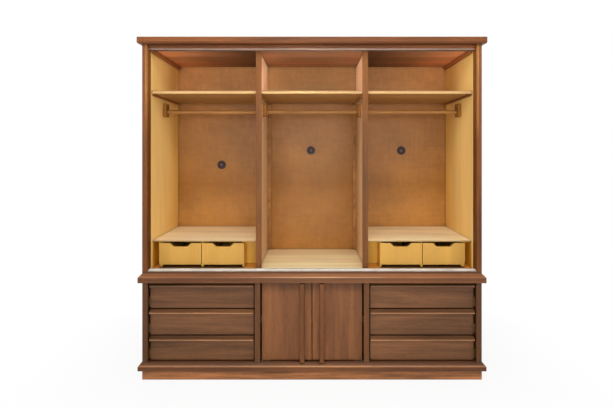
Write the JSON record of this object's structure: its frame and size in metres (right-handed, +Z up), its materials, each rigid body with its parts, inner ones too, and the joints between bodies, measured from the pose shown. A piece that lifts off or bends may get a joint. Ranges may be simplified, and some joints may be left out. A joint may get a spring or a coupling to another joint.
{
  "type": "wardrobe wall unit",
  "caption": "Walnut wardrobe wall unit: open hanging bays with hat shelves, rails and small inner drawers above, lip-front drawers and a double-door cupboard below.",
  "frame": {"origin": "middle of the unit's outside box, on the floor", "axes": "+Z up, +X to the right seen from the front, the front faces -Y"},
  "size_m": [2.074, 0.634, 2.04],
  "materials": {
    "walnut": "satin oiled walnut",
    "pale_wood": "satin lacquered pale veneer",
    "drawer_wood": "satin lacquered pale wood",
    "back_veneer": "mottled lacquered plywood",
    "stained_wood": "brown stained",
    "divider_wood": "satin walnut veneer",
    "rail_wood": "turned and lacquered",
    "runner_wood": "bare hardwood",
    "carcass_wood": "plain veneer",
    "track_aluminium": "satin anodised",
    "fitting_steel": "plated",
    "dark_plastic": "dark brown"
  },
  "bodies": {
    "carcass": {"back_panels": "back_veneer", "base_moulding": "walnut", "bottom_track": "track_aluminium", "ceiling_board": "stained_wood", "cleats": "stained_wood", "cornice_moulding": "walnut", "cornice_top": "walnut", "cupboard_shelf": "carcass_wood", "divider_facings": "divider_wood", "divider_left": "divider_wood", "divider_right": "divider_wood", "door_catches": "dark_plastic", "drawer_runners": "runner_wood", "frieze_rail": "walnut", "grommet_caps": "dark_plastic", "grommet_sleeves": "dark_plastic", "hanging_rails": "rail_wood", "hat_shelves": "pale_wood", "hinge_case_plates": "fitting_steel", "inner_chest_left": "pale_wood", "inner_chest_right": "pale_wood", "inner_chest_tops": "pale_wood", "lower_back_panel": "back_veneer", "lower_bottom_board": "carcass_wood", "lower_partitions": "carcass_wood", "lower_side_left": "walnut", "lower_side_right": "walnut", "lower_stiles": "walnut", "lower_top_board": "carcass_wood", "plinth": "walnut", "rail_brackets": "stained_wood", "side_linings": "pale_wood", "top_track": "track_aluminium", "upper_bottom_board": "pale_wood", "upper_side_left": "walnut", "upper_side_right": "walnut", "upper_stiles": "walnut", "waist_moulding": "walnut"},
    "drawer_left_top": {"drawer_front_left_top": "walnut", "drawer_box_left_top": "drawer_wood"},
    "drawer_left_middle": {"drawer_front_left_middle": "walnut", "drawer_box_left_middle": "drawer_wood"},
    "drawer_left_bottom": {"drawer_front_left_bottom": "walnut", "drawer_box_left_bottom": "drawer_wood"},
    "small_drawer_left_inner": {"inner_drawer_left_inner": "drawer_wood"},
    "small_drawer_left_outer": {"inner_drawer_left_outer": "drawer_wood"},
    "cupboard_door_left": {"door_left": "walnut", "door_pull_left": "walnut", "door_fittings_left": "fitting_steel"},
    "drawer_right_top": {"drawer_front_right_top": "walnut", "drawer_box_right_top": "drawer_wood"},
    "drawer_right_middle": {"drawer_front_right_middle": "walnut", "drawer_box_right_middle": "drawer_wood"},
    "drawer_right_bottom": {"drawer_front_right_bottom": "walnut", "drawer_box_right_bottom": "drawer_wood"},
    "small_drawer_right_inner": {"inner_drawer_right_inner": "drawer_wood"},
    "small_drawer_right_outer": {"inner_drawer_right_outer": "drawer_wood"},
    "cupboard_door_right": {"door_right": "walnut", "door_pull_right": "walnut", "door_fittings_right": "fitting_steel"}
  },
  "joints": [
    {"name": "drawer_left_top_slide", "type": "slide", "parent": "carcass", "child": "drawer_left_top", "axis": [0, -1, 0], "range_m": [0, 0.4]},
    {"name": "drawer_left_middle_slide", "type": "slide", "parent": "carcass", "child": "drawer_left_middle", "axis": [0, -1, 0], "range_m": [0, 0.4]},
    {"name": "drawer_left_bottom_slide", "type": "slide", "parent": "carcass", "child": "drawer_left_bottom", "axis": [0, -1, 0], "range_m": [0, 0.4]},
    {"name": "small_drawer_left_inner_slide", "type": "slide", "parent": "carcass", "child": "small_drawer_left_inner", "axis": [0, -1, 0], "range_m": [0, 0.3]},
    {"name": "small_drawer_left_outer_slide", "type": "slide", "parent": "carcass", "child": "small_drawer_left_outer", "axis": [0, -1, 0], "range_m": [0, 0.3]},
    {"name": "door_left_hinge", "type": "hinge", "parent": "carcass", "child": "cupboard_door_left", "pos_m": [-0.306, -0.269, 0.34], "axis": [0, 0, -1], "range_deg": [0, 90]},
    {"name": "drawer_right_top_slide", "type": "slide", "parent": "carcass", "child": "drawer_right_top", "axis": [0, -1, 0], "range_m": [0, 0.4]},
    {"name": "drawer_right_middle_slide", "type": "slide", "parent": "carcass", "child": "drawer_right_middle", "axis": [0, -1, 0], "range_m": [0, 0.4]},
    {"name": "drawer_right_bottom_slide", "type": "slide", "parent": "carcass", "child": "drawer_right_bottom", "axis": [0, -1, 0], "range_m": [0, 0.4]},
    {"name": "small_drawer_right_inner_slide", "type": "slide", "parent": "carcass", "child": "small_drawer_right_inner", "axis": [0, -1, 0], "range_m": [0, 0.3]},
    {"name": "small_drawer_right_outer_slide", "type": "slide", "parent": "carcass", "child": "small_drawer_right_outer", "axis": [0, -1, 0], "range_m": [0, 0.3]},
    {"name": "door_right_hinge", "type": "hinge", "parent": "carcass", "child": "cupboard_door_right", "pos_m": [0.306, -0.269, 0.34], "axis": [0, 0, 1], "range_deg": [0, 90]}
  ]
}
